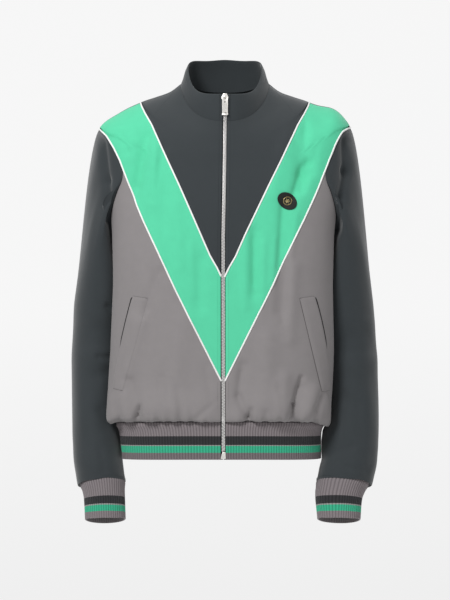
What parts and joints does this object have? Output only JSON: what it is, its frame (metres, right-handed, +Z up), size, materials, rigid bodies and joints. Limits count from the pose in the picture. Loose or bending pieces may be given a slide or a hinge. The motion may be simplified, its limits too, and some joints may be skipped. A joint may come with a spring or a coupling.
{
  "type": "anorak, a zip-up track jacket",
  "caption": "Zip-up track jacket with a stand collar, broad piped V bands across the front, slanted welt pockets and striped ribbed cuffs and hem, in its worn shape.",
  "frame": {"origin": "centre of the neck opening on the shoulder line, where the wearer's shoulders hold the jacket", "axes": "+X towards the wearer's left, +Y towards the wearer's back, +Z up; the front faces -Y"},
  "size_m": [0.5533, 0.2738, 0.8386],
  "materials": {
    "charcoal_cloth": "matte close-knit cloth",
    "green_cloth": "matte close-knit cloth",
    "grey_cloth": "matte close-knit cloth",
    "grey_rib": "ribbed knit, with black and green stripes",
    "white_piping": "soft corded piping",
    "zip_tape": "woven tape",
    "zip_metal": "bright polished metal",
    "badge_cloth": "dark embroidered patch"
  },
  "bodies": {
    "jacket": {"back": "charcoal_cloth", "front_yoke_left": "charcoal_cloth", "front_yoke_right": "charcoal_cloth", "front_band_left": "green_cloth", "front_band_right": "green_cloth", "front_lower_left": "grey_cloth", "front_lower_right": "grey_cloth", "collar": "charcoal_cloth", "sleeve_left": "charcoal_cloth", "sleeve_right": "charcoal_cloth", "cuff_left": "grey_rib", "cuff_right": "grey_rib", "hem_rib": "grey_rib", "piping_upper_left": "white_piping", "piping_upper_right": "white_piping", "piping_lower_left": "white_piping", "piping_lower_right": "white_piping", "pocket_welt_left": "grey_cloth", "pocket_welt_right": "grey_cloth", "badge": "badge_cloth", "zip_tape_left": "zip_tape", "zip_tape_right": "zip_tape", "zip_chain": "zip_metal", "zip_slider": "zip_metal", "zip_bottom_stop": "zip_metal"},
    "pull": {"zip_pull": "zip_metal"}
  },
  "joints": [
    {"name": "pull_swing", "type": "hinge", "parent": "jacket", "child": "pull", "pos_m": [0, -0.0909, -0.002], "axis": [-1, 0, 0], "range_deg": [0, 165]}
  ]
}
